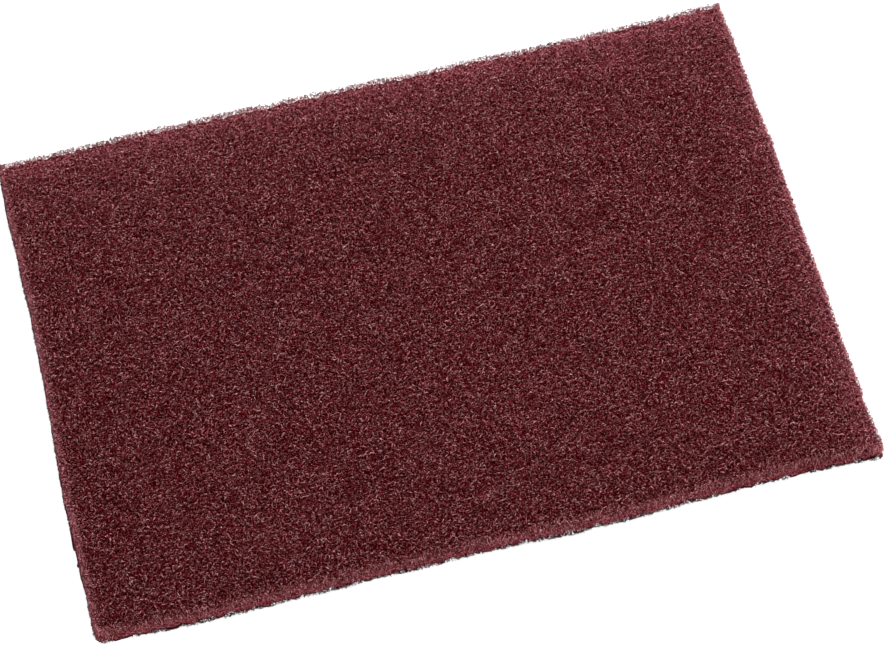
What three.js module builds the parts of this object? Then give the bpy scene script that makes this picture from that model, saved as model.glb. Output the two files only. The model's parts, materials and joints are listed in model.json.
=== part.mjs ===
// A hand pad for scouring: one flat piece of lofty non-woven nylon web, cut from a wider sheet.
// Millimetres. X runs along the pad, Y across it and Z up. The pad lies on z = 0,
// with the middle of its box on the Z axis.
import * as THREE from "three";

// The cut piece
const PAD_LENGTH = 224;
const PAD_WIDTH = 158;
const PAD_THICKNESS = 7;

// The cut edges: the blade rolls the upper fibres over, and the lower ones hardly at all
const UPPER_EDGE_RADIUS = 1.5;
const LOWER_EDGE_RADIUS = 0.5;
const CORNER_RADIUS = 1.8;

// How far each cut strays from a straight line: one bow over its whole length, and a wave
const NEAR_CUT = { bow: 0.5, wave: 0.4, wavelength: 100, phase: -0.3 };
const FAR_CUT = { bow: -0.4, wave: 0.6, wavelength: 230, phase: 2.9 };
const LEFT_CUT = { bow: 0.1, wave: 0.4, wavelength: 100, phase: -2.6 };
const RIGHT_CUT = { bow: 0.1, wave: 0.2, wavelength: 120, phase: 0.5 };
const CUT_WAVE_REACH = 20;

// Tufts of cut fibre stand out along the edges
const EDGE_TUFT_HEIGHT = 0.5;
const EDGE_TUFT_LENGTH = 5;

// Both faces: shallow hollows, longer along X because the web was laid that way, and tufts.
// What lies between the hollows is level, because the web was pressed to its thickness.
const HOLLOW_DEPTH = 0.8;
const HOLLOW_LENGTH = 17;
const HOLLOW_WIDTH = 10;
const TUFT_DEPTH = 0.9;
const TUFT_SPACING = 4.6;

// Fineness of the mesh
const CELLS_ALONG = 52;
const CELLS_ACROSS = 36;
const WALL_ROWS = 3;
const CELL_JITTER = 0.26;
const EDGE_LINE_SHARES = [0, 0.3];

const HALF_LENGTH = PAD_LENGTH / 2;
const HALF_WIDTH = PAD_WIDTH / 2;
const EDGE_BAND = Math.max(CORNER_RADIUS, UPPER_EDGE_RADIUS, LOWER_EDGE_RADIUS);

// The two faces differ only in the roll of their edge and in their random pattern.
// Both patterns are ones that leave a face level around its middle.
const UPPER_FACE = { pattern: 520, edgeRadius: UPPER_EDGE_RADIUS };
const LOWER_FACE = { pattern: 1953, edgeRadius: LOWER_EDGE_RADIUS };

// Added to a face's pattern for its tufts and for the two ways its grid points shift
const TUFT_PATTERN = 1;
const SHIFT_X_PATTERN = 2;
const SHIFT_Y_PATTERN = 3;

// Large unlike factors, so that neighbouring whole numbers give unrelated results
const SCATTER_FACTORS = { column: 127.1, row: 311.7, pattern: 74.7, spread: 43758.5453 };

// A number from 0 to 1 that depends only on the two whole numbers and the pattern
function scatter(column, row, pattern) {
  const factors = SCATTER_FACTORS;
  const turn = column * factors.column + row * factors.row + pattern * factors.pattern;
  const wide = Math.sin(turn) * factors.spread;
  return wide - Math.floor(wide);
}

// Smooth random hills and hollows from -1 to 1, one for each unit of x and y
function hills(x, y, pattern) {
  const column = Math.floor(x);
  const row = Math.floor(y);
  const across = THREE.MathUtils.smoothstep(x - column, 0, 1);
  const along = THREE.MathUtils.smoothstep(y - row, 0, 1);
  const low = THREE.MathUtils.lerp(
    scatter(column, row, pattern), scatter(column + 1, row, pattern), across);
  const high = THREE.MathUtils.lerp(
    scatter(column, row + 1, pattern), scatter(column + 1, row + 1, pattern), across);
  return 2 * THREE.MathUtils.lerp(low, high, along) - 1;
}

// Grid lines along one side: even cells in the middle, and closer lines in the edge band
function gridLines(size, cells) {
  const inner = size / 2 - EDGE_BAND;
  const start = EDGE_LINE_SHARES.map((share) => share * EDGE_BAND - size / 2);
  const middle = Array.from({ length: cells + 1 }, (_, i) => inner * ((2 * i) / cells - 1));
  const end = start.map((line) => -line).reverse();
  return [...start, ...middle, ...end];
}

// Turns the square corner of the grid into a round one
function roundCorner(x, y) {
  const reachX = Math.abs(x) - (HALF_LENGTH - CORNER_RADIUS);
  const reachY = Math.abs(y) - (HALF_WIDTH - CORNER_RADIUS);
  if (reachX <= 0 || reachY <= 0) return [x, y];
  const shrink = Math.max(reachX, reachY) / Math.hypot(reachX, reachY);
  return [
    Math.sign(x) * (HALF_LENGTH - CORNER_RADIUS + reachX * shrink),
    Math.sign(y) * (HALF_WIDTH - CORNER_RADIUS + reachY * shrink),
  ];
}

// Distance in from the outline with its round corners
function depthInside(x, y) {
  const reachX = Math.abs(x) - (HALF_LENGTH - CORNER_RADIUS);
  const reachY = Math.abs(y) - (HALF_WIDTH - CORNER_RADIUS);
  const outside = Math.hypot(Math.max(reachX, 0), Math.max(reachY, 0));
  return CORNER_RADIUS - outside - Math.min(Math.max(reachX, reachY), 0);
}

// How far a cut strays outward at a place along it
function straying(cut, place, sideLength) {
  const bow = cut.bow * Math.cos((Math.PI * place) / sideLength);
  return bow + cut.wave * Math.sin((2 * Math.PI * place) / cut.wavelength + cut.phase);
}

// The share of a cut's straying that a point takes, from 1 at the cut to 0 further in
function cutShare(distance) {
  return 1 - THREE.MathUtils.smoothstep(distance, 0, CUT_WAVE_REACH);
}

// Moves a point of the straight-edged pad to its place in the real one
function strayWithCuts(x, y) {
  const right = straying(RIGHT_CUT, y, PAD_WIDTH) * cutShare(HALF_LENGTH - x);
  const left = straying(LEFT_CUT, y, PAD_WIDTH) * cutShare(HALF_LENGTH + x);
  const far = straying(FAR_CUT, x, PAD_LENGTH) * cutShare(HALF_WIDTH - y);
  const near = straying(NEAR_CUT, x, PAD_LENGTH) * cutShare(HALF_WIDTH + y);
  return [x + right - left, y + far - near];
}

// The way that points straight out of the pad at its outline
function outwardAt(x, y) {
  const reachX = Math.abs(x) - (HALF_LENGTH - CORNER_RADIUS);
  const reachY = Math.abs(y) - (HALF_WIDTH - CORNER_RADIUS);
  if (reachX > 0 && reachY > 0) {
    const reach = Math.hypot(reachX, reachY);
    return [(Math.sign(x) * reachX) / reach, (Math.sign(y) * reachY) / reach];
  }
  return reachX > reachY ? [Math.sign(x), 0] : [0, Math.sign(y)];
}

// A point near the cut edge with its tuft: level 0 is the upper face, WALL_ROWS the lower
function planPoint(x, y, level) {
  const tuft = hills(x / EDGE_TUFT_LENGTH, y / EDGE_TUFT_LENGTH, level);
  const share = Math.max(0, 1 - depthInside(x, y) / EDGE_BAND);
  const [outX, outY] = outwardAt(x, y);
  const [placeX, placeY] = strayWithCuts(x, y);
  const push = EDGE_TUFT_HEIGHT * tuft * share;
  return [placeX + push * outX, placeY + push * outY];
}

// How far the roll of the edge takes a face down at a distance in from the outline
function edgeRoll(distance, radius) {
  if (distance >= radius) return 0;
  return radius - Math.sqrt(radius ** 2 - (radius - distance) ** 2);
}

// Depth of the web's hollows and tufts below the level of a face
function webDepth(x, y, pattern) {
  const hollow = HOLLOW_DEPTH * hills(x / HOLLOW_LENGTH, y / HOLLOW_WIDTH, pattern);
  const tuft = TUFT_DEPTH * hills(x / TUFT_SPACING, y / TUFT_SPACING, pattern + TUFT_PATTERN);
  return Math.max(0, hollow + tuft);
}

// Shifts the inner grid points a little, so that the web shows no rows
function jitter(index, other, lines, pattern) {
  const first = EDGE_LINE_SHARES.length;
  if (index <= first || index >= lines.length - 1 - first) return 0;
  const cell = lines[first + 1] - lines[first];
  return (2 * scatter(index, other, pattern) - 1) * CELL_JITTER * cell;
}

// All points of one face, column by column; lift turns a depth into a height
function facePoints(columns, rows, face, level, lift) {
  const points = [];
  columns.forEach((column, i) => rows.forEach((row, j) => {
    const gridX = column + jitter(i, j, columns, face.pattern + SHIFT_X_PATTERN);
    const gridY = row + jitter(j, i, rows, face.pattern + SHIFT_Y_PATTERN);
    const [x, y] = roundCorner(gridX, gridY);
    const roll = edgeRoll(Math.max(0, depthInside(x, y)), face.edgeRadius);
    const depth = Math.min(1, depthInside(x, y) / EDGE_BAND) * webDepth(x, y, face.pattern);
    points.push([...planPoint(x, y, level), lift(roll + depth)]);
  }));
  return points;
}

// Grid places around the outline, anticlockwise seen from above
function outlinePlaces(lastColumn, lastRow) {
  const places = [];
  for (let i = 0; i < lastColumn; i += 1) places.push([i, 0]);
  for (let j = 0; j < lastRow; j += 1) places.push([lastColumn, j]);
  for (let i = lastColumn; i > 0; i -= 1) places.push([i, lastRow]);
  for (let j = lastRow; j > 0; j -= 1) places.push([0, j]);
  return places;
}

// One row of points down the cut wall, between the two faces
function wallPoints(columns, rows, outline, level) {
  const top = PAD_THICKNESS - UPPER_EDGE_RADIUS;
  const height = THREE.MathUtils.lerp(top, LOWER_EDGE_RADIUS, level / WALL_ROWS);
  return outline.map(([i, j]) => {
    const [x, y] = roundCorner(columns[i], rows[j]);
    return [...planPoint(x, y, level), height];
  });
}

// Two triangles for a four-cornered cell, split one way or the other
function cellTriangles([a, b, c, d], flip) {
  return flip ? [a, b, d, b, c, d] : [a, b, c, a, c, d];
}

// The triangles of one face, with its corners in the order that faces out
function faceTriangles(columnCount, rowCount, first, facesUp) {
  const triangles = [];
  const at = (i, j) => first + i * rowCount + j;
  for (let i = 0; i < columnCount - 1; i += 1) {
    for (let j = 0; j < rowCount - 1; j += 1) {
      const corners = [at(i, j), at(i + 1, j), at(i + 1, j + 1), at(i, j + 1)];
      const ordered = facesUp ? corners : corners.reverse();
      triangles.push(...cellTriangles(ordered, (i + j) % 2 === 0));
    }
  }
  return triangles;
}

// The triangles between one ring of points around the pad and the next ring below it
function wallTriangles(upper, lower) {
  return upper.flatMap((point, k) => {
    const next = (k + 1) % upper.length;
    return cellTriangles([point, lower[k], lower[next], upper[next]], k % 2 === 0);
  });
}

// Moves the points so that the middle of their box lies on the Z axis
function centre(points) {
  const box = new THREE.Box3().setFromPoints(points.map((point) => new THREE.Vector3(...point)));
  const middle = box.getCenter(new THREE.Vector3());
  return points.map(([x, y, z]) => [x - middle.x, y - middle.y, z]);
}

// The whole pad as one closed surface
function padGeometry() {
  const columns = gridLines(PAD_LENGTH, CELLS_ALONG);
  const rows = gridLines(PAD_WIDTH, CELLS_ACROSS);
  const outline = outlinePlaces(columns.length - 1, rows.length - 1);
  const upper = facePoints(columns, rows, UPPER_FACE, 0, (depth) => PAD_THICKNESS - depth);
  const lower = facePoints(columns, rows, LOWER_FACE, WALL_ROWS, (depth) => depth);

  const points = [...upper, ...lower];
  const triangles = [
    ...faceTriangles(columns.length, rows.length, 0, true),
    ...faceTriangles(columns.length, rows.length, upper.length, false),
  ];
  let ring = outline.map(([i, j]) => i * rows.length + j);
  const lowestRing = ring.map((index) => index + upper.length);
  for (let level = 1; level < WALL_ROWS; level += 1) {
    const next = outline.map((_, k) => points.length + k);
    points.push(...wallPoints(columns, rows, outline, level));
    triangles.push(...wallTriangles(ring, next));
    ring = next;
  }
  triangles.push(...wallTriangles(ring, lowestRing));

  const geometry = new THREE.BufferGeometry();
  geometry.setAttribute("position", new THREE.Float32BufferAttribute(centre(points).flat(), 3));
  geometry.setIndex(triangles);
  geometry.computeVertexNormals();
  return geometry;
}

const webMaterial = new THREE.MeshStandardMaterial({
  color: 0x5a262b,
  roughness: 0.95,
  metalness: 0,
});

const pad = new THREE.Mesh(padGeometry(), webMaterial);
pad.name = "scouring_pad";

const part = new THREE.Group();
part.add(pad);

export default part;
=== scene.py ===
# A scouring pad of maroon non-woven nylon web, modelled fibre by fibre on the pad's own solid
import json
import math

import bpy
import numpy as np
from bpy.props import FloatProperty, FloatVectorProperty, IntProperty, PointerProperty
from mathutils import Matrix, Vector
from mathutils.bvhtree import BVHTree

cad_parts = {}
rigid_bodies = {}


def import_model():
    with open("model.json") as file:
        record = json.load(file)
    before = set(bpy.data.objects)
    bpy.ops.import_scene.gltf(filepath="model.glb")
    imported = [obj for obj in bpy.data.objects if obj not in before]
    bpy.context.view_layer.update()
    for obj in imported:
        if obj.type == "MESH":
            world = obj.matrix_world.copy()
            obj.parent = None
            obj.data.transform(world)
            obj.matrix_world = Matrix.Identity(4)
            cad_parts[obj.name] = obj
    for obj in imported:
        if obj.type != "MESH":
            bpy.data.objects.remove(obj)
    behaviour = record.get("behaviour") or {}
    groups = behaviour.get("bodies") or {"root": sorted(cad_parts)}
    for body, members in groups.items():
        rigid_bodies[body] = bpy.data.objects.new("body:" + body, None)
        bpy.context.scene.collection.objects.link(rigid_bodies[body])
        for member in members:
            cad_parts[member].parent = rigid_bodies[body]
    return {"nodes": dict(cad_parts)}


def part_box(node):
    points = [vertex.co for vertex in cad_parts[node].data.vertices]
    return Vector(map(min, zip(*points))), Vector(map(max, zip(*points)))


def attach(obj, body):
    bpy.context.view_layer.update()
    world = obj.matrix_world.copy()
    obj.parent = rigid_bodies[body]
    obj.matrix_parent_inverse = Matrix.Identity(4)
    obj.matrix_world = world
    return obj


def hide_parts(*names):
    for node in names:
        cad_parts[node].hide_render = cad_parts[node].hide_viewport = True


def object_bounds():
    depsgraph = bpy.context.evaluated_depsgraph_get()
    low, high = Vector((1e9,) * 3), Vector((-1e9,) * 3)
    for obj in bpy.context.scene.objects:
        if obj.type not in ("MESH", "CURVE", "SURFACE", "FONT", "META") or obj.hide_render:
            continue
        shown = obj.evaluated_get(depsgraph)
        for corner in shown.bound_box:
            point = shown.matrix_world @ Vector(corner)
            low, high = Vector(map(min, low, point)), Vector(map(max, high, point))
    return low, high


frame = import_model()
cad_low, cad_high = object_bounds()

bl_info = {
    "name": "Scouring Pad",
    "version": (1, 0, 0),
    "blender": (4, 5, 0),
    "location": "View3D > Sidebar > Scouring Pad",
    "description": "Builds a scouring pad of non-woven nylon web and its studio",
    "category": "Object",
}

MM = 0.001
PAD_NODE = "scouring_pad"
BAKE_MAP = "OFBake"
# Attribute of the fibres' tone, which carries painted shade on sunk fibres and at the foot of the
# cuts
TONE_AND_SHADE = "fibre_tone_and_shade"
# Attribute of painted side light: how much lighter the web is painted beside the cuts, where light
# comes in from the side
PAINTED_SIDE_LIGHT = "painted_side_light"
# Attribute of painted shade at the foot of the cuts, where they meet the floor
PAINTED_FOOT_SHADE = "painted_foot_shade"

# A fibre is a thin tube of three sides that comes to a point at both ends
SIDES = 3
STEPS = 2
TRIANGLES_PER_FIBRE = 2 * SIDES * (STEPS - 1)
UPPER_FIBRES = 190000 // TRIANGLES_PER_FIBRE
LOWER_FIBRES = 80000 // TRIANGLES_PER_FIBRE
UPPER_SEED = 100
LOWER_SEED = 200

# The fibres along the cuts: piece, seed, how many, between which shares of the thickness,
# how wide their strip is, and how far they turn from straight out of the pad
CUT_FIBRES = (
    ("edge_fibres", 300, 120000 // TRIANGLES_PER_FIBRE, (0, 1), 1.6 * MM, math.pi),
    ("rim_fibres", 301, 80000 // TRIANGLES_PER_FIBRE, (0.7, 1), 2.2 * MM, 1.0),
    ("foot_fibres", 302, 60000 // TRIANGLES_PER_FIBRE, (0, 0.15), 1.2 * MM, 1.0),
)

# The four cuts are listed as far, near, right and left: each one's axis and its way out
CUT_AXES = ((1, 1), (1, -1), (0, 1), (0, -1))
FAR = 0
NEAR = 1

# Width of the strip beside each cut that leans with it, and of the far cut's dark fringe
LEAN_STRIP = 4.0 * MM
FAR_FRINGE = 2.0 * MM

# The fringe's tufts at the far rim and the near foot: how far they reach, and two widths
FAR_TUFTS = 0.45 * MM
NEAR_TUFTS = 0.40 * MM
TUFT_WAVES = (1.1 * MM, 0.67 * MM)

# Length of cut over which the loose fibres stand out alike, and how far, as shares
TUFT = 1.3 * MM
TUFTS = 997
TUFT_STRENGTHS = (0.1, 1.9)

# Shares of the pad's height: where the sides start to catch light, and where they do fully
UNLIT_HEIGHT = 0.12
LIT_HEIGHT = 0.45

# The near cut loses most of its side light between these shares of the height, by this much
NEAR_ROLL_START = 0.5
NEAR_ROLL_END = 0.68
NEAR_ROLL_LOSS = 0.85

# Painted shade at the foot of the cuts, where they meet the floor: its full and its outer width,
# and its full and its outer height
FOOT_SHADE_WIDTHS = (0.6 * MM, 1.8 * MM)
FOOT_SHADE_HEIGHTS = (0.78 * MM, 2.08 * MM)

# How much more often a fibre lies along the pad than across it
ALONG_PAD = 1.6

# Lengths of the fibres on the faces and along the cuts, as shares of the fibre length
FACE_LENGTHS = (0.6, 1.3)
CUT_LENGTHS = (0.4, 0.9)

# How far a face fibre's ends dip, how unevenly they do, and how steeply a cut's fibres stand
ARCHES = (0.15 * MM, 0.8 * MM)
FACE_SLOPE = 0.2 * MM
CUT_SLOPE = 0.9 * MM

# Tones of the fibres, from 0, the deep shade colour, to 1, the palest, on the faces, where sunk
# fibres get painted shade, and in the cuts, where painted shade darkens them over the lowest share
# of the height, and the cuts' share of painted side light
FACE_TONE = 0.72
SUNK_PAINTED_SHADE = 0.50
FACE_TONE_SPREAD = 0.20
CUT_TONE = 0.55
FOOT_PAINTED_SHADE = 1.1
FOOT_SHARE = 0.3
CUT_TONE_SPREAD = 0.22
FRINGE_TONE_LOSS = 0.4
CUT_GLOW = 0.8

# Sizes of the grain on the fibres and on the matted body, and heights of their relief
FIBRE_GRAIN = 0.32 * MM
BODY_GRAIN = 0.4 * MM
FIBRE_RELIEF = 0.06 * MM
BODY_RELIEF = 0.3 * MM

# Lines of matted fibre on the body: the size of their windings, their width and their turn
STRAND_LINES = ((0.72 * MM, 0.070, 0.0), (0.62 * MM, 0.075, 1.1), (0.80 * MM, 0.065, 2.3))

# What the colours are multiplied by in the darkest and the palest blotches
DARK_BLOTCH = (0.90, 0.88, 0.88)
PALE_BLOTCH = (1.09, 1.07, 1.07)

# A fibre keeps this many of its radii above the web's lower face
FLOOR_CLEARANCE = 2.4

# Nearest that a fibre's middle comes to the loose fibres' limit
LEAST_INSET = 0.05 * MM

# Thickness of whole fibres and of single places on them, and how often a place is a lump
WHOLE_THICKNESS = (0.75, 1.25)
PLACE_THICKNESS = (0.8, 1.2)
LUMP_SHARE = 0.12
LUMP_THICKNESS = 1.7

# Least share of a step that stays where a fibre is cut
LEAST_STEP = 0.02

# Shape of a fibre's cell in the map, and the share of it that stays free at each side
CELL_ASPECT = 3
CELL_INSET = 0.06

# Points of the solid that lie closer than this are one point
MERGE_DISTANCE = 0.005 * MM

# The lamps' places in metres, their width, and the floor's width and depth under the pad
KEY_PLACE = (0.7, 0.8, 0.7)
FRONT_PLACE = (-0.2, -1.2, 0.25)
LAMP_WIDTH = 0.5
FLOOR_WIDTH = 8.0
FLOOR_DEPTH = 0.05 * MM


# Sizes and colours that a user would change


class WebSizes(bpy.types.PropertyGroup):
    """Sizes of the pad's web"""

    fibre_radius: FloatProperty(
        name="Fibre radius",
        description="Half the thickness of a fibre with its coat of resin",
        default=0.100 * MM,
        unit="LENGTH",
    )
    fibre_length: FloatProperty(
        name="Fibre length",
        description="Length of fibre between two places where it dips into the web",
        default=1.6 * MM,
        unit="LENGTH",
    )
    fibre_turn: FloatProperty(
        name="Fibre turn",
        description="How sharply a fibre turns from one step to the next",
        default=math.radians(30),
        subtype="ANGLE",
    )
    open_depth: FloatProperty(
        name="Open depth",
        description="Depth of the open layer of single fibres on both faces",
        default=1.0 * MM,
        unit="LENGTH",
    )
    fuzz: FloatProperty(
        name="Fuzz",
        description="How far the loose fibres as a whole reach out of the cut edges",
        default=0.8 * MM,
        unit="LENGTH",
    )
    stray: FloatVectorProperty(
        name="Stray",
        description="How much further single fibre ends stand out on average, at each cut",
        default=(0.9 * MM, 0.50 * MM, 0.45 * MM, 0.10 * MM),
        size=4,
        unit="LENGTH",
    )
    fade: FloatVectorProperty(
        name="Fade",
        description="Width of the strip in which the fibres thin out towards each cut",
        default=(1.7 * MM, 0.0, 0.8 * MM, 0.0),
        size=4,
        unit="LENGTH",
    )
    foot_lean: FloatVectorProperty(
        name="Foot lean",
        description="How far each cut leans out at the floor",
        default=(0.1 * MM, 0.2 * MM, 0.1 * MM, 0.5 * MM),
        size=4,
        unit="LENGTH",
    )
    rim_lean: FloatVectorProperty(
        name="Rim lean",
        description="How far each cut leans out at the upper face",
        default=(-0.3 * MM, -0.1 * MM, -0.2 * MM, -0.6 * MM),
        size=4,
        unit="LENGTH",
    )
    edge_roll: FloatProperty(
        name="Edge roll",
        description="Width of the strip of the upper face that rolls down to the cut edges",
        default=2.2 * MM,
        unit="LENGTH",
    )
    roll_drop: FloatProperty(
        name="Roll drop",
        description="How far the upper face has dropped at the outermost fibres",
        default=0.6 * MM,
        unit="LENGTH",
    )
    # These four sizes set painted side light: a wide and a narrow pale band beside each cut,
    # stronger at the far and right cuts, towards the key lamp
    wide_glow: FloatVectorProperty(
        name="Wide glow",
        description="Strength of the wide pale band beside each cut",
        default=(0.52, 0.0, 0.26, 0.0),
        size=4,
    )
    wide_reach: FloatVectorProperty(
        name="Wide reach",
        description="How far in the wide pale band reaches from each cut",
        default=(11 * MM, 1 * MM, 8 * MM, 1 * MM),
        size=4,
        unit="LENGTH",
    )
    rim_glow: FloatVectorProperty(
        name="Rim glow",
        description="Strength of the narrow pale band beside each cut",
        default=(2.8, 1.5, 2.6, 1.7),
        size=4,
    )
    rim_reach: FloatVectorProperty(
        name="Rim reach",
        description="How far in the narrow pale band reaches from each cut",
        default=(1.9 * MM, 1.3 * MM, 1.6 * MM, 1.1 * MM),
        size=4,
        unit="LENGTH",
    )
    core_sink: FloatProperty(
        name="Core sink",
        description="Depth of the matted body under the pad's surface",
        default=0.7 * MM,
        unit="LENGTH",
    )
    core_out: FloatProperty(
        name="Core out",
        description="How far the matted body's sides reach back out to the cut edges",
        default=0.9 * MM,
        unit="LENGTH",
    )
    core_foot: FloatVectorProperty(
        name="Core foot",
        description="How far the matted body is drawn out at the foot of each cut",
        default=(0.3 * MM, 0.8 * MM, 0.4 * MM, 1.3 * MM),
        size=4,
        unit="LENGTH",
    )
    core_rim: FloatVectorProperty(
        name="Core rim",
        description="How far the matted body is drawn out at the rim of each cut",
        default=(-1.35 * MM, -0.1 * MM, -0.3 * MM, -0.5 * MM),
        size=4,
        unit="LENGTH",
    )
    core_drop: FloatProperty(
        name="Core drop",
        description="How much deeper the matted body lies under the upper face than over the floor",
        default=0.35 * MM,
        unit="LENGTH",
    )
    core_cell: FloatProperty(
        name="Core cell",
        description="Mesh size of the matted body under the single fibres",
        default=1.7 * MM,
        unit="LENGTH",
    )
    lump_size: FloatProperty(
        name="Lump size",
        description="Width of the lumps on the matted body",
        default=2.4 * MM,
        unit="LENGTH",
    )
    lump_height: FloatProperty(
        name="Lump height",
        description="Height of the lumps on the matted body, from hollow to top",
        default=0.45 * MM,
        unit="LENGTH",
    )
    upper_layers: IntProperty(
        name="Upper layers",
        description="How many sheets of single fibres lie on the upper face",
        default=3,
        min=1,
    )


class WebColours(bpy.types.PropertyGroup):
    """Colours of the pad's web"""

    # Deep: painted shade between the fibres down in the web, which the darkest fibres take too
    deep_shade: FloatVectorProperty(
        name="Deep",
        description="Colour between the fibres, down in the web",
        default=(0.030, 0.0004, 0.0012),
        subtype="COLOR",
        size=3,
    )
    main: FloatVectorProperty(
        name="Main",
        description="Colour of most fibres",
        default=(0.190, 0.006, 0.012),
        subtype="COLOR",
        size=3,
    )
    # Cut: painted side light, the colour that stands for light coming in through the web from the
    # side
    cut: FloatVectorProperty(
        name="Cut",
        description="Colour of the fibres beside the cut edges, where light comes in from the side",
        default=(0.780, 0.225, 0.275),
        subtype="COLOR",
        size=3,
    )
    # Pale: the mineral grain's colour, which also stands for painted highlights where the fibres
    # catch the lamps
    pale: FloatVectorProperty(
        name="Pale",
        description="Colour of the fibres with the most mineral grain on them",
        default=(0.780, 0.400, 0.420),
        subtype="COLOR",
        size=3,
    )


class StudioSizes(bpy.types.PropertyGroup):
    """The camera's place and the strength of the light"""

    camera_distance: FloatProperty(
        name="Camera distance",
        description="From the camera to the point that it looks at",
        default=820.8 * MM,
        unit="LENGTH",
    )
    camera_elevation: FloatProperty(
        name="Camera elevation",
        description="Angle of the camera above the floor",
        default=math.radians(60.3),
        subtype="ANGLE",
    )
    camera_azimuth: FloatProperty(
        name="Camera azimuth",
        description="Turn of the camera round the pad from its near side",
        default=math.radians(-9.9),
        subtype="ANGLE",
    )
    camera_roll: FloatProperty(
        name="Camera roll",
        description="Turn of the camera about its own line of sight",
        default=math.radians(-4.57),
        subtype="ANGLE",
    )
    camera_aim: FloatVectorProperty(
        name="Camera aim",
        description="The point on the floor that the camera looks at",
        default=(3.84 * MM, -5.17 * MM, 0.0),
        subtype="TRANSLATION",
        size=3,
    )
    camera_lens: FloatProperty(
        name="Camera lens",
        description="Focal length in millimetres on a film 36 mm wide",
        default=114.7,
    )
    key_power: FloatProperty(
        name="Key power",
        description="Power in watts of the lamp behind the pad, on its right",
        default=26.0,
    )
    front_power: FloatProperty(
        name="Front power",
        description="Power in watts of the low lamp in front of the pad",
        default=13.0,
    )
    surroundings: FloatProperty(
        name="Surroundings",
        description="Strength of the even light that comes from all round",
        default=0.13,
    )
    floor_lift: FloatProperty(
        name="Floor lift",
        description="How much of the floor's white is its own, so that it shows as white",
        default=0.92,
    )


# Small helpers


def deselect_all():
    """Leaves no object selected or active."""
    for obj in bpy.context.view_layer.objects:
        obj.select_set(False)
    bpy.context.view_layer.objects.active = None


def pick(obj):
    """Makes one object the only one selected, and the active one."""
    deselect_all()
    obj.select_set(True)
    bpy.context.view_layer.objects.active = obj


def apply_modifiers(obj):
    """Applies all modifiers of one object in order."""
    pick(obj)
    for name in [modifier.name for modifier in obj.modifiers]:
        bpy.ops.object.modifier_apply(modifier=name)


# Shader nodes


class Level:
    """A number that varies over a surface. Arithmetic on it adds the Math nodes."""

    def __init__(self, nodes, socket):
        self.nodes = nodes
        self.socket = socket

    def _math(self, operation, first, second):
        return Level(self.nodes, self.nodes.node(
            "ShaderNodeMath", {"operation": operation}, {0: first, 1: second}).outputs[0])

    def __add__(self, other):
        return self._math("ADD", self, other)

    __radd__ = __add__

    def __sub__(self, other):
        return self._math("SUBTRACT", self, other)

    def __rsub__(self, other):
        return self._math("SUBTRACT", other, self)

    def __mul__(self, other):
        return self._math("MULTIPLY", self, other)

    __rmul__ = __mul__

    def __abs__(self):
        return self._math("ABSOLUTE", self, 0.0)

    def ramp(self, low, high):
        """0 below low, 1 above high and even between them; low may be above high."""
        return Level(self.nodes, self.nodes.node("ShaderNodeMapRange", {"clamp": True}, {
            "Value": self, "From Min": low, "From Max": high}).outputs["Result"])

    def at_least(self, other):
        """The larger of the two."""
        return self._math("MAXIMUM", self, other)


class Nodes:
    """The nodes of a material or of the world."""

    def __init__(self, owner):
        owner.use_nodes = True
        self.tree = owner.node_tree

    def first(self, kind):
        """The node of one kind that the tree already has."""
        return next(node for node in self.tree.nodes if node.type == kind)

    def node(self, kind, settings, values):
        """Adds a node, then sets its settings, then its sockets' values or links."""
        made = self.tree.nodes.new(kind)
        for key, value in settings.items():
            setattr(made, key, value)
        for key, value in values.items():
            self.feed(made.inputs[key], value)
        return made

    def feed(self, socket, value):
        """Links a socket to a value from another node, or sets it to a number or colour."""
        if isinstance(value, Level):
            self.tree.links.new(value.socket, socket)
        elif isinstance(value, bpy.types.NodeSocket):
            self.tree.links.new(value, socket)
        elif socket.type == "RGBA":
            socket.default_value = (*value[:3], 1.0)
        else:
            socket.default_value = value


class Paint(Nodes):
    """The nodes of one material."""

    def __init__(self, name, roughness, gloss):
        self.material = bpy.data.materials.new(name)
        super().__init__(self.material)
        self.shader = self.first("BSDF_PRINCIPLED")
        self.feed(self.shader.inputs["Roughness"], roughness)
        self.feed(self.shader.inputs["Specular IOR Level"], gloss)
        self.place = self.node("ShaderNodeTexCoord", {}, {}).outputs["Object"]

    def stretched(self, stretch, turn=0.0):
        """The place on the object, with the pattern stretched along each axis."""
        scale = [1 / s for s in stretch]
        return self.node("ShaderNodeMapping", {"vector_type": "POINT"}, {
            "Vector": self.place, "Scale": scale, "Rotation": (0.0, 0.0, turn)}).outputs[0]

    def noise(self, size, place=None, detail=1.0, distortion=0.0):
        """Soft random blotches of about one size, from 0 to 1."""
        return Level(self, self.node("ShaderNodeTexNoise", {}, {
            "Vector": place or self.place, "Scale": 1 / size, "Detail": detail,
            "Distortion": distortion}).outputs[0])

    def attribute(self, name):
        """A number that the mesh holds for each point."""
        return Level(self, self.node("ShaderNodeAttribute", {
            "attribute_type": "GEOMETRY", "attribute_name": name}, {}).outputs["Fac"])

    def mix(self, share, first, second, blend="MIX"):
        """One colour turning into another."""
        return self.node("ShaderNodeMix", {"data_type": "RGBA", "blend_type": blend}, {
            0: share, 6: first, 7: second}).outputs[2]

    def finish(self, colour, roughness, height, depth):
        """Connects the finished colour, roughness and relief to the shader."""
        self.feed(self.shader.inputs["Base Color"], colour)
        self.feed(self.shader.inputs["Roughness"], roughness)
        bump = self.node("ShaderNodeBump", {}, {
            "Strength": 1.0, "Distance": depth, "Height": height})
        self.feed(self.shader.inputs["Normal"], bump.outputs["Normal"])
        return self.material


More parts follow.
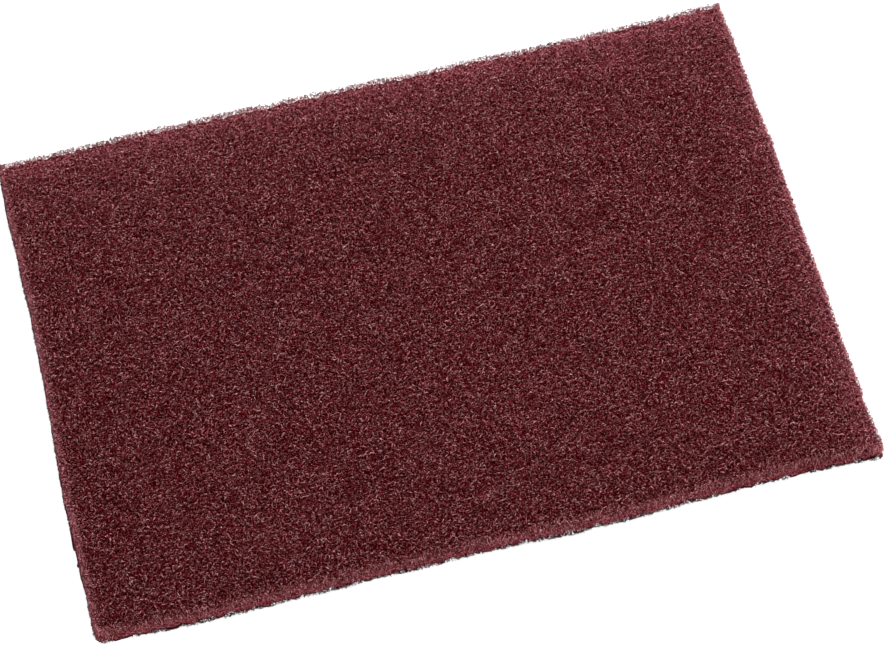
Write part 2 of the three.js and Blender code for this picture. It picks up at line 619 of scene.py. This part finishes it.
def blotched(paint, colour):
    """A colour made uneven by blotches that are longer along the pad."""
    broad = paint.noise(7 * MM, paint.stretched((2.6, 1.0, 1.0)), detail=3.0)
    small = paint.noise(2.2 * MM, paint.stretched((2.4, 1.0, 1.0)), detail=2.0)
    share = broad.ramp(0.3, 0.7) * 0.6 + small.ramp(0.3, 0.7) * 0.4
    shade = paint.mix(share, DARK_BLOTCH, PALE_BLOTCH)
    return paint.mix(1.0, colour, shade, "MULTIPLY")


def fibre_material(colours):
    """Nylon fibre in a coat of maroon resin with fine mineral grain, whose pale colour is partly
    painted highlights on the fibres.
    """
    paint = Paint("coated_nylon_fibre", 0.5, 0.03)
    grain = paint.noise(FIBRE_GRAIN)
    # The tone carries painted shade: sunk fibres and those at the foot of the cuts are darker
    tone = paint.attribute(TONE_AND_SHADE) + 1.6 * (grain - 0.5)
    body = paint.mix(tone.ramp(0.12, 0.52), colours.deep_shade, colours.main)
    # Painted side light lifts the fibres beside the cuts towards the cut colour
    body = paint.mix(paint.attribute(PAINTED_SIDE_LIGHT) * tone.ramp(0.12, 0.65), body, colours.cut)
    # Pale grain on the palest fibres, partly painted highlights
    body = paint.mix(tone.ramp(0.54, 1.0), body, colours.pale)
    return paint.finish(blotched(paint, body), 0.4 + 0.25 * grain, grain, FIBRE_RELIEF)


def strand_lines(paint, size, width, turn):
    """Thin winding lines, as matted fibres show from above: 1 on a line, 0 off it."""
    place = paint.stretched((1.0, 1.0, 1.0), turn)
    field = paint.noise(size, place, detail=0.0, distortion=0.6)
    return abs(field - 0.5).ramp(width, 0.0)


def core_material(colours):
    """The matted body of the web: dark with painted shade in its gaps, with painted side light
    beside the cuts and painted shade at their foot, and the fibres of its skin showing, their pale
    grain partly painted highlights.
    """
    paint = Paint("matted_nylon_web", 0.7, 0.0)
    lines = strand_lines(paint, *STRAND_LINES[0])
    for more in STRAND_LINES[1:]:
        lines = lines.at_least(strand_lines(paint, *more))
    grain = paint.noise(BODY_GRAIN)
    # Painted side light beside the cuts, on the strands and in the gaps
    side_light = paint.attribute(PAINTED_SIDE_LIGHT)
    # Pale strands on the body, partly painted highlights
    strand = paint.mix(grain.ramp(0.51, 0.74), colours.main, colours.pale)
    strand = paint.mix(side_light * grain.ramp(0.25, 0.6), strand, colours.cut)
    # Gaps: painted shade down in the web, lifted by painted side light beside the cuts
    gap = paint.mix(side_light * 0.35, colours.deep_shade, colours.main)
    web = paint.mix(lines.ramp(0.25, 0.6), gap, strand)
    # Painted shade at the foot of the cuts: the body turns to the deep colour there
    web = paint.mix(paint.attribute(PAINTED_FOOT_SHADE), web, colours.deep_shade)
    return paint.finish(blotched(paint, web), 0.8 - 0.3 * lines, lines, BODY_RELIEF)


# The pad's own surface, read from its solid


def graded(values, zero_at, one_at):
    """0 at one value and 1 at the other, even between them and flat beyond."""
    return np.clip((values - zero_at) / (one_at - zero_at), 0, 1)


class PadShape:
    """Heights of both faces and reach of the four cuts, measured on the pad's solid."""

    STEP = 1.5 * MM
    MARGIN = 2.5 * MM
    SHARP_CORNER = 1.2 * MM
    BLUNT_CORNER = 2.8 * MM

    def __init__(self, fuzz):
        mesh = frame["nodes"][PAD_NODE].data
        self.fuzz = fuzz
        points = [vertex.co.copy() for vertex in mesh.vertices]
        faces = [tuple(face.vertices) for face in mesh.polygons]
        self.tree = BVHTree.FromPolygons(points, faces)
        self.low, self.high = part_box(PAD_NODE)
        self.x = self.stations(self.low.x, self.high.x)
        self.y = self.stations(self.low.y, self.high.y)
        middle = (self.low.z + self.high.z) / 2
        beyond_x, beyond_y = self.high.x * 2, self.high.y * 2
        self.far = np.array([self.hit((x, beyond_y, middle), (0, -1, 0), 1) for x in self.x])
        self.near = np.array([self.hit((x, -beyond_y, middle), (0, 1, 0), 1) for x in self.x])
        self.right = np.array([self.hit((beyond_x, y, middle), (-1, 0, 0), 0) for y in self.y])
        self.left = np.array([self.hit((-beyond_x, y, middle), (1, 0, 0), 0) for y in self.y])
        self.top = self.heights(self.high.z * 2, -1)
        self.bottom = self.heights(-self.high.z, 1)

    def stations(self, low, high):
        """Even places along one axis, from just inside one end to just inside the other."""
        count = math.ceil((high - low) / self.STEP)
        return np.linspace(low + self.MARGIN, high - self.MARGIN, count)

    def hit(self, start, way, axis):
        """Where a straight line first meets the pad, along one axis."""
        return self.tree.ray_cast(Vector(start), Vector(way))[0][axis]

    def heights(self, start, way):
        """Height of one face at each station."""
        return np.array([[self.hit((x, y, start), (0, 0, way), 2) for y in self.y] for x in self.x])

    def distances(self, points):
        """Distances in from the loose fibres' limit at the far, near, right and left cut."""
        x, y = points[..., 0], points[..., 1]
        return (
            self.fuzz + np.interp(x, self.x, self.far) - y,
            self.fuzz + y - np.interp(x, self.x, self.near),
            self.fuzz + np.interp(y, self.y, self.right) - x,
            self.fuzz + x - np.interp(y, self.y, self.left))

    def leant(self, points, foot, rim):
        """The points with those beside each cut drawn out by its foot's and its rim's measure."""
        height = graded(points[..., 2], 0, self.high.z)
        moved = points.copy()
        for cut, distance in enumerate(self.distances(points)):
            axis, way = CUT_AXES[cut]
            share = graded(distance, LEAN_STRIP, 0)
            moved[..., axis] += way * share * (foot[cut] + (rim[cut] - foot[cut]) * height)
        return moved

    def inside(self, points):
        """Distance in from the loose fibres' limit, round the corners too; negative outside."""
        far, near, right, left = self.distances(points)
        ends, sides = np.minimum(far, near), np.minimum(right, left)
        blunt = (near < far) & (left < right)
        radius = np.where(blunt, self.BLUNT_CORNER, self.SHARP_CORNER)
        short = np.maximum(radius - sides, 0)
        shy = np.maximum(radius - ends, 0)
        at_corner = (short > 0) & (shy > 0)
        return np.where(at_corner, radius - np.hypot(short, shy), np.minimum(sides, ends))

    def face_height(self, grid, points):
        """Height of a face at each point, from the nearest stations."""
        across = np.interp(points[..., 0], self.x, np.arange(len(self.x)))
        along = np.interp(points[..., 1], self.y, np.arange(len(self.y)))
        i = np.minimum(across.astype(int), len(self.x) - 2)
        j = np.minimum(along.astype(int), len(self.y) - 2)
        u, v = across - i, along - j
        low = grid[i, j] * (1 - u) + grid[i + 1, j] * u
        high = grid[i, j + 1] * (1 - u) + grid[i + 1, j + 1] * u
        return low * (1 - v) + high * v


# Fibres


def wander(random, sizes, lengths, heading):
    """Flat winding paths about the origin: the places of each fibre's stations."""
    count = len(lengths)
    bend = random.normal(0, sizes.fibre_turn, count)
    turns = bend[:, None] + random.normal(0, sizes.fibre_turn, (count, STEPS))
    swing = np.cumsum(turns, axis=1)
    headings = heading[:, None] + swing - swing.mean(axis=1, keepdims=True)
    step = (lengths / STEPS)[:, None]
    legs = np.stack([np.cos(headings), np.sin(headings)], axis=-1) * step[..., None]
    places = np.concatenate([np.zeros((count, 1, 2)), np.cumsum(legs, axis=1)], axis=1)
    return places - places[:, STEPS // 2, None]


def trim(shape, paths, stray):
    """Cuts each fibre where it passes the pad's outline by more than its stray length."""
    count, stations, _ = paths.shape
    room = shape.inside(paths) + stray[:, None]
    middle = stations // 2
    start = np.zeros(count)
    end = np.full(count, stations - 1.0)
    open_up = np.ones(count, bool)
    open_down = np.ones(count, bool)
    for k in range(middle, stations - 1):
        crossing = open_up & (room[:, k + 1] < 0)
        share = room[:, k] / np.maximum(room[:, k] - room[:, k + 1], 1e-9)
        end = np.where(crossing, k + np.clip(share, LEAST_STEP, 1), end)
        open_up &= ~crossing
    for k in range(middle, 0, -1):
        crossing = open_down & (room[:, k - 1] < 0)
        share = room[:, k] / np.maximum(room[:, k] - room[:, k - 1], 1e-9)
        start = np.where(crossing, k - np.clip(share, LEAST_STEP, 1), start)
        open_down &= ~crossing
    at = start[:, None] + (end - start)[:, None] * np.linspace(0, 1, stations)
    lower = np.minimum(at.astype(int), stations - 2)
    part = (at - lower)[..., None]
    rows = np.arange(count)[:, None]
    return paths[rows, lower] * (1 - part) + paths[rows, lower + 1] * part


def tube_faces():
    """Faces of one fibre, each with its corners and their places in the fibre's map cell."""
    faces = []
    last_ring = 1 + SIDES * (STEPS - 2)
    tip = last_ring + SIDES
    for j in range(SIDES):
        after = (j + 1) % SIDES
        faces.append([(0, 0, 0.5), (1 + j, 1, 0), (1 + after, 1, 1)])
    for ring in range(STEPS - 2):
        first = 1 + SIDES * ring
        for j in range(SIDES):
            after = (j + 1) % SIDES
            faces.append([
                (first + j, ring + 1, 0), (first + SIDES + j, ring + 2, 0),
                (first + SIDES + after, ring + 2, 1), (first + after, ring + 1, 1)])
    for j in range(SIDES):
        after = (j + 1) % SIDES
        faces.append([
            (tip, STEPS, 0.5), (last_ring + after, STEPS - 1, 1), (last_ring + j, STEPS - 1, 0)])
    return faces


def tube_points(random, paths, radii):
    """Points of all fibres: a point at each end and rings of three between."""
    along = np.gradient(paths, axis=1)
    along /= np.linalg.norm(along, axis=-1, keepdims=True) + 1e-12
    side = np.cross(along, (0.0, 0.0, 1.0))
    side /= np.linalg.norm(side, axis=-1, keepdims=True) + 1e-12
    over = np.cross(side, along)
    roll = random.uniform(0, 2 * math.pi, len(paths))[:, None]
    angles = (roll + 2 * math.pi * np.arange(SIDES) / SIDES)[:, None, :, None]
    inner = slice(1, -1)
    rings = paths[:, inner, None] + radii[:, inner, None, None] * (
        np.cos(angles) * side[:, inner, None] + np.sin(angles) * over[:, inner, None])
    count = len(paths)
    rings = rings.reshape(count, -1, 3)
    return np.concatenate([paths[:, :1], rings, paths[:, -1:]], axis=1)


def map_cells(count, faces):
    """Map places of all corners: every fibre has its own cell of one square map."""
    rows = math.ceil(math.sqrt(count * CELL_ASPECT))
    columns = math.ceil(count / rows)
    corners = np.array([[u / STEPS, v] for face in faces for _, u, v in face])
    corners = CELL_INSET + corners * (1 - 2 * CELL_INSET)
    cell = np.arange(count)
    origin = np.stack([cell % columns, cell // columns], axis=-1)[:, None]
    return (origin + corners) / (columns, rows)


def add_attribute(mesh, name, values):
    """Adds a number for each point of a mesh."""
    made = mesh.attributes.new(name, "FLOAT", "POINT")
    made.data.foreach_set("value", values.astype(np.float32))


def make_fibres(name, random, paths, radii, tones, edges, material):
    """Makes one piece of many fibres and returns it."""
    points = tube_points(random, paths, radii)
    count, per_fibre, _ = points.shape
    pattern = tube_faces()
    first = (np.arange(count) * per_fibre)[:, None]
    corners = [corner for face in pattern for corner, _, _ in face]
    face_sizes = [len(face) for face in pattern]
    loops = (first + np.array(corners)).ravel()
    starts = np.concatenate([[0], np.cumsum(np.tile(face_sizes, count))[:-1]])
    mesh = bpy.data.meshes.new(name)
    mesh.vertices.add(count * per_fibre)
    mesh.vertices.foreach_set("co", points.ravel().astype(np.float32))
    mesh.loops.add(len(loops))
    mesh.loops.foreach_set("vertex_index", loops.astype(np.int32))
    mesh.polygons.add(len(starts))
    mesh.polygons.foreach_set("loop_start", starts.astype(np.int32))
    mesh.update(calc_edges=True)
    mesh.validate()
    mesh.shade_smooth()
    layer = mesh.uv_layers.new(name=BAKE_MAP)
    layer.data.foreach_set("uv", map_cells(count, pattern).ravel().astype(np.float32))
    add_attribute(mesh, TONE_AND_SHADE, np.repeat(tones, per_fibre))
    add_attribute(mesh, PAINTED_SIDE_LIGHT, np.repeat(edges, per_fibre))
    mesh.materials.append(material)
    piece = bpy.data.objects.new(name, mesh)
    bpy.context.scene.collection.objects.link(piece)
    return piece


def fibre_radii(random, count, radius):
    """Thickness of each fibre at its stations, uneven where resin and grain have gathered."""
    whole = radius * random.uniform(*WHOLE_THICKNESS, count)
    uneven = random.uniform(*PLACE_THICKNESS, (count, STEPS + 1))
    lumps = np.where(random.random((count, STEPS + 1)) < LUMP_SHARE, LUMP_THICKNESS, 1.0)
    return whole[:, None] * uneven * lumps


def raised(flat):
    """Flat paths with a height of zero at each station."""
    return np.concatenate([flat, np.zeros((*flat.shape[:2], 1))], axis=-1)


def painted_side_light(shape, points, sizes):
    """Share of painted side light: 1 where most light comes in from the side, beside the cuts, but
    not at their feet.
    """
    height = points[..., 2] / shape.high.z
    shares = []
    for cut, distance in enumerate(shape.distances(points)):
        depth = np.maximum(distance, 0)
        wide = sizes.wide_glow[cut] * np.exp(-depth / sizes.wide_reach[cut])
        narrow = sizes.rim_glow[cut] * np.exp(-depth / sizes.rim_reach[cut])
        shares.append(np.minimum(wide + narrow, 1))
    shares[FAR] = shares[FAR] * (1 - at_far_fringe(shape, points))
    shares[NEAR] = shares[NEAR] * (
        1 - NEAR_ROLL_LOSS * graded(height, NEAR_ROLL_START, NEAR_ROLL_END))
    return np.maximum.reduce(shares) * graded(height, UNLIT_HEIGHT, LIT_HEIGHT)


def at_far_fringe(shape, points):
    """1 at the loose ends of the far cut, which are darker, and 0 where the web closes."""
    return graded(shape.distances(points)[FAR], FAR_FRINGE, 0)


def at_painted_foot_shade(shape, points):
    """Painted shade: 1 at the very foot of the cuts, where they meet the floor, and 0 elsewhere."""
    full_width, width = FOOT_SHADE_WIDTHS
    full_height, height = FOOT_SHADE_HEIGHTS
    beside = graded(shape.inside(points), width, full_width)
    return beside * graded(points[..., 2], height, full_height)


def frayed(shape, points):
    """Uneven shifts of the far cut's rim and the near cut's foot, which end in tufts."""
    distances = shape.distances(points)
    far = FAR_TUFTS * graded(distances[FAR], LEAN_STRIP, 0)
    near = NEAR_TUFTS * graded(distances[NEAR], LEAN_STRIP, 0)
    low = graded(points[:, 2], shape.high.z, 0)
    long_wave, short_wave = TUFT_WAVES
    waves = np.sin(points[:, 0] / long_wave) + np.sin(points[:, 0] / short_wave + 1.0)
    return waves * (far + near * low)


class FibreBed:
    """Lays fibres of one material on the pad's faces and along its cuts."""

    def __init__(self, shape, sizes, material):
        self.shape = shape
        self.sizes = sizes
        self.material = material
        self.length = shape.high.x - shape.low.x
        self.width = shape.high.y - shape.low.y
        self.clearance = FLOOR_CLEARANCE * sizes.fibre_radius
        self.span = np.linspace(-1, 1, STEPS + 1)

    def scattered(self, random, count):
        """Random places that cover a face evenly: one in each cell of a grid."""
        shape = self.shape
        length = self.length + 2 * shape.fuzz
        width = self.width + 2 * shape.fuzz
        cell = math.sqrt(length * width / count)
        columns, rows = math.floor(length / cell), math.floor(width / cell)
        i, j = np.meshgrid(np.arange(columns), np.arange(rows))
        spot = np.stack([i.ravel(), j.ravel()], axis=-1) + random.random((columns * rows, 2))
        corner = (shape.low.x - shape.fuzz, shape.low.y - shape.fuzz)
        return spot * (length / columns, width / rows) + corner

    def along_cuts(self, random, count, reach):
        """Places along the four cuts, a little way in, and the direction out of the pad."""
        shape = self.shape
        long_side = random.random(count) < self.length / (self.length + self.width)
        second = random.random(count) < 0.5
        x = random.uniform(shape.low.x, shape.high.x, count)
        y = random.uniform(shape.low.y, shape.high.y, count)
        inward = reach * random.random(count) - shape.fuzz
        far, near = np.interp(x, shape.x, shape.far), np.interp(x, shape.x, shape.near)
        right, left = np.interp(y, shape.y, shape.right), np.interp(y, shape.y, shape.left)
        x = np.where(long_side, x, np.where(second, right - inward, left + inward))
        y = np.where(long_side, np.where(second, far - inward, near + inward), y)
        out_long = np.where(second, math.pi / 2, -math.pi / 2)
        out_short = np.where(second, 0.0, math.pi)
        return np.stack([x, y], axis=-1), np.where(long_side, out_long, out_short)

    def thinned(self, random, centres):
        """Which of the places keep their fibre: fewer towards the cuts where the web fades."""
        cut = np.argmin(self.shape.distances(centres), axis=0)
        fade = np.array(self.sizes.fade)[cut] * random.random(len(centres))
        return self.shape.inside(centres) > np.maximum(fade, LEAST_INSET)

    def trimmed(self, random, centres, flat):
        """Fibres cut at the outline, past which they reach in uneven tufts, by their cut."""
        cut = np.argmin(self.shape.distances(centres), axis=0)
        strengths = random.uniform(*TUFT_STRENGTHS, TUFTS)
        tuft = (centres.sum(axis=-1) / TUFT).astype(int) % TUFTS
        stray = random.exponential(np.array(self.sizes.stray)[cut]) * strengths[tuft]
        return trim(self.shape, raised(flat), stray)

    def rolled(self, paths):
        """How far the upper face has dropped towards the cuts."""
        roll = graded(self.shape.inside(paths), self.sizes.edge_roll, 0)
        return self.sizes.roll_drop * roll ** 2

    def finish(self, name, random, paths, tones, glow):
        """Makes the laid fibres one piece, with their tones, which carry painted shade, and their
        share of painted side light.
        """
        middle = paths[:, STEPS // 2]
        tones = tones - FRINGE_TONE_LOSS * at_far_fringe(self.shape, middle)
        # Each fibre's share of painted side light
        edges = glow * painted_side_light(self.shape, middle, self.sizes)
        paths = self.shape.leant(paths, self.sizes.foot_lean, self.sizes.rim_lean)
        radii = fibre_radii(random, len(paths), self.sizes.fibre_radius)
        return make_fibres(name, random, paths, radii, np.clip(tones, 0, 1), edges, self.material)

    def face(self, name, seed, count, way, between):
        """Fibres that lie on one face, each arched up out of the web.

        The way is 1 for the upper face and -1 for the lower one, and the two shares of the
        open depth are those that the fibres lie between.
        """
        random = np.random.default_rng(seed)
        centres = self.scattered(random, count)
        centres = centres[self.thinned(random, centres)]
        count = len(centres)
        heading = random.uniform(0, 2 * math.pi, count)
        heading = np.arctan2(np.sin(heading), np.cos(heading) * ALONG_PAD)
        lengths = self.sizes.fibre_length * random.uniform(*FACE_LENGTHS, count)
        flat = centres[:, None] + wander(random, self.sizes, lengths, heading)
        sunk = random.uniform(*between, count)
        arch = random.uniform(*ARCHES, count)[:, None] * self.span ** 2
        slope = random.normal(0, FACE_SLOPE, count)[:, None] * self.span
        down = (sunk * self.sizes.open_depth)[:, None] + arch + slope
        down = np.maximum(down, self.clearance if way < 0 else 0.0)
        paths = self.trimmed(random, centres, flat)
        if way > 0:
            down = down + self.rolled(paths)
        grid = self.shape.top if way > 0 else self.shape.bottom
        paths[..., 2] = self.shape.face_height(grid, paths) - way * down
        # Painted shade: the deeper a fibre is sunk, the darker its tone
        tones = FACE_TONE - SUNK_PAINTED_SHADE * sunk + random.normal(0, FACE_TONE_SPREAD, count)
        return self.finish(name, random, paths, tones, 1.0)

    def cuts(self, name, seed, count, between, reach, spread):
        """Fibres along the four cuts, between two shares of the web's thickness.

        They lie within a reach of the outline, and turn from straight out by up to the spread.
        """
        random = np.random.default_rng(seed)
        centres, out = self.along_cuts(random, 2 * count, reach)
        keep = self.thinned(random, centres)
        centres, out = centres[keep][:count], out[keep][:count]
        count = len(centres)
        heading = out + random.uniform(-spread, spread, count)
        lengths = self.sizes.fibre_length * random.uniform(*CUT_LENGTHS, count)
        flat = centres[:, None] + wander(random, self.sizes, lengths, heading)
        level = random.uniform(*between, count)
        paths = self.trimmed(random, centres, flat)
        top = self.shape.face_height(self.shape.top, paths)
        bottom = self.shape.face_height(self.shape.bottom, paths)
        slope = random.normal(0, CUT_SLOPE, count)[:, None] * self.span
        height = bottom + level[:, None] * (top - bottom) + slope
        paths[..., 2] = np.clip(height, bottom + self.clearance, top - self.rolled(paths))
        # Painted shade: fibres low in the cut darken towards the foot
        foot = graded(level, FOOT_SHARE, 0)
        tones = CUT_TONE - FOOT_PAINTED_SHADE * foot + random.normal(0, CUT_TONE_SPREAD, count)
        return self.finish(name, random, paths, tones, CUT_GLOW)


# Operators, one for each kind of piece


def keep_piece(piece):
    """Says what a finished piece rides on."""
    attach(piece, "root")


class PAD_OT_core(bpy.types.Operator):
    """Make the matted body of the web, under the single fibres"""

    bl_idname = "scouring_pad.core"
    bl_label = "Web Core"

    def execute(self, context):
        sizes = context.scene.pad_sizes
        solid = frame["nodes"][PAD_NODE]
        core = bpy.data.objects.new("web_core", solid.data.copy())
        context.scene.collection.objects.link(core)
        core.data.materials.clear()
        pick(core)
        bpy.ops.object.mode_set(mode="EDIT")
        bpy.ops.mesh.select_all(action="SELECT")
        bpy.ops.mesh.remove_doubles(threshold=MERGE_DISTANCE)
        bpy.ops.object.mode_set(mode="OBJECT")
        remesh = core.modifiers.new("even_mesh", "REMESH")
        remesh.mode = "VOXEL"
        remesh.voxel_size = sizes.core_cell
        sink = core.modifiers.new("sink", "DISPLACE")
        sink.mid_level = 0.0
        sink.strength = -sizes.core_sink
        lumps = bpy.data.textures.new("web_lumps", "CLOUDS")
        lumps.noise_scale = sizes.lump_size
        lumps.noise_depth = 1
        rough = core.modifiers.new("lumps", "DISPLACE")
        rough.texture = lumps
        rough.texture_coords = "LOCAL"
        rough.mid_level = 0.5
        rough.strength = sizes.lump_height
        apply_modifiers(core)
        bpy.ops.object.mode_set(mode="EDIT")
        bpy.ops.mesh.select_all(action="SELECT")
        bpy.ops.transform.translate(value=(0, 0, -sizes.core_drop))
        reach = [1 + 2 * sizes.core_out / side for side in (cad_high - cad_low)[:2]]
        bpy.ops.transform.resize(value=(*reach, 1), center_override=(0, 0, 0))
        bpy.ops.object.mode_set(mode="OBJECT")
        bpy.ops.object.shade_smooth()
        shape = PadShape(sizes.fuzz)
        spots = np.array([vertex.co for vertex in core.data.vertices])
        # Painted side light beside the cuts, held for the body's colour
        add_attribute(core.data, PAINTED_SIDE_LIGHT, painted_side_light(shape, spots, sizes))
        # Painted shade at the foot of the cuts, held for the body's colour
        add_attribute(core.data, PAINTED_FOOT_SHADE, at_painted_foot_shade(shape, spots))
        spots = shape.leant(spots, sizes.core_foot, sizes.core_rim)
        spots[:, 1] += frayed(shape, spots)
        core.data.vertices.foreach_set("co", spots.ravel())
        core.data.materials.append(core_material(context.scene.pad_colours))
        keep_piece(core)
        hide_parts(PAD_NODE)
        return {"FINISHED"}


class PAD_OT_fibres(bpy.types.Operator):
    """Lay the single fibres on both faces and along the cut edges"""

    bl_idname = "scouring_pad.fibres"
    bl_label = "Single Fibres"

    def execute(self, context):
        sizes = context.scene.pad_sizes
        bed = FibreBed(PadShape(sizes.fuzz), sizes, fibre_material(context.scene.pad_colours))
        layers = sizes.upper_layers
        for layer in range(layers):
            between = (layer / layers, (layer + 1) / layers)
            name = f"upper_fibres_{layer + 1}"
            keep_piece(bed.face(name, UPPER_SEED + layer, UPPER_FIBRES, 1, between))
        keep_piece(bed.face("lower_fibres", LOWER_SEED, LOWER_FIBRES, -1, (0, 1)))
        for name, seed, count, between, reach, spread in CUT_FIBRES:
            keep_piece(bed.cuts(name, seed, count, between, reach, spread))
        return {"FINISHED"}


def add_lamp(name, place, power):
    """A large soft lamp that shines at the pad."""
    light = bpy.data.lights.new(name, "AREA")
    light.shape = "DISK"
    light.size = LAMP_WIDTH
    light.energy = power
    lamp = bpy.data.objects.new(name, light)
    bpy.context.scene.collection.objects.link(lamp)
    lamp.location = place
    lamp.rotation_euler = (-lamp.location).to_track_quat("-Z", "Y").to_euler()


def add_camera(studio):
    """The camera at the photograph's viewing angle."""
    elevation, azimuth = studio.camera_elevation, studio.camera_azimuth
    back = Vector((
        math.sin(azimuth) * math.cos(elevation),
        -math.cos(azimuth) * math.cos(elevation),
        math.sin(elevation)))
    level = Vector((math.cos(azimuth), math.sin(azimuth), 0.0))
    steep = back.cross(level)
    turn, roll = math.cos(studio.camera_roll), math.sin(studio.camera_roll)
    right = turn * level + roll * steep
    up = turn * steep - roll * level
    camera = bpy.data.cameras.new("camera")
    camera.sensor_width = 36.0
    camera.lens = studio.camera_lens
    obj = bpy.data.objects.new("camera", camera)
    bpy.context.scene.collection.objects.link(obj)
    axes = Matrix((right, up, back)).transposed().to_4x4()
    place = Vector(studio.camera_aim) + back * studio.camera_distance
    obj.matrix_world = Matrix.Translation(place) @ axes
    bpy.context.scene.camera = obj


def seen_directly(nodes):
    """1 where the camera, a reflection or clear glass looks straight at it, and 0 elsewhere."""
    rays = nodes.node("ShaderNodeLightPath", {}, {}).outputs
    camera, glossy, through = (
        Level(nodes, rays[f"Is {kind} Ray"]) for kind in ("Camera", "Glossy", "Transmission"))
    return (camera + glossy + through).ramp(0.0, 1.0)


def add_floor(lift):
    """A plain white floor that keeps the pad's shadow."""
    deselect_all()
    bpy.ops.mesh.primitive_plane_add(size=FLOOR_WIDTH, location=(0, 0, -FLOOR_DEPTH))
    floor = bpy.context.active_object
    floor.name = "studio_floor"
    paint = Paint("studio_white", 1.0, 0.0)
    paint.feed(paint.shader.inputs["Base Color"], (0.5, 0.5, 0.5))
    paint.feed(paint.shader.inputs["Emission Color"], (1.0, 1.0, 1.0))
    paint.feed(paint.shader.inputs["Emission Strength"], lift * seen_directly(paint))
    floor.data.materials.append(paint.material)


def set_world(light):
    """Plain white surroundings: white to the camera, and a soft even light on the pad."""
    world = bpy.data.worlds.new("studio")
    bpy.context.scene.world = world
    nodes = Nodes(world)
    background = nodes.first("BACKGROUND")
    nodes.feed(background.inputs["Color"], (1.0, 1.0, 1.0))
    nodes.feed(background.inputs["Strength"], light + (1.0 - light) * seen_directly(nodes))


class PAD_OT_studio(bpy.types.Operator):
    """Set up the floor, the lamps, the surroundings and the camera"""

    bl_idname = "scouring_pad.studio"
    bl_label = "Studio"

    def execute(self, context):
        studio = context.scene.pad_studio
        context.scene.view_settings.view_transform = "Standard"
        add_floor(studio.floor_lift)
        add_lamp("key_lamp", KEY_PLACE, studio.key_power)
        add_lamp("front_lamp", FRONT_PLACE, studio.front_power)
        set_world(studio.surroundings)
        add_camera(studio)
        return {"FINISHED"}


class PAD_PT_panel(bpy.types.Panel):
    """Lists the pad's operators and sizes"""

    bl_label = "Scouring Pad"
    bl_idname = "PAD_PT_panel"
    bl_space_type = "VIEW_3D"
    bl_region_type = "UI"
    bl_category = "Scouring Pad"

    def draw(self, context):
        for group in (context.scene.pad_sizes, context.scene.pad_colours, context.scene.pad_studio):
            box = self.layout.box()
            for name in group.__annotations__:
                box.prop(group, name)
        for operator in OPERATORS:
            self.layout.operator(operator.bl_idname)


OPERATORS = (PAD_OT_core, PAD_OT_fibres, PAD_OT_studio)
CLASSES = (WebSizes, WebColours, StudioSizes, *OPERATORS, PAD_PT_panel)


def register():
    """Registers the classes and the scene's settings."""
    for cls in CLASSES:
        bpy.utils.register_class(cls)
    bpy.types.Scene.pad_sizes = PointerProperty(type=WebSizes)
    bpy.types.Scene.pad_colours = PointerProperty(type=WebColours)
    bpy.types.Scene.pad_studio = PointerProperty(type=StudioSizes)


def unregister():
    """Removes what register added."""
    del bpy.types.Scene.pad_studio
    del bpy.types.Scene.pad_colours
    del bpy.types.Scene.pad_sizes
    for cls in reversed(CLASSES):
        bpy.utils.unregister_class(cls)


def main():
    """Builds the pad and its studio."""
    register()
    bpy.ops.scouring_pad.core()
    bpy.ops.scouring_pad.fibres()
    bpy.ops.scouring_pad.studio()
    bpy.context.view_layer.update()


if __name__ == "__main__":
    main()
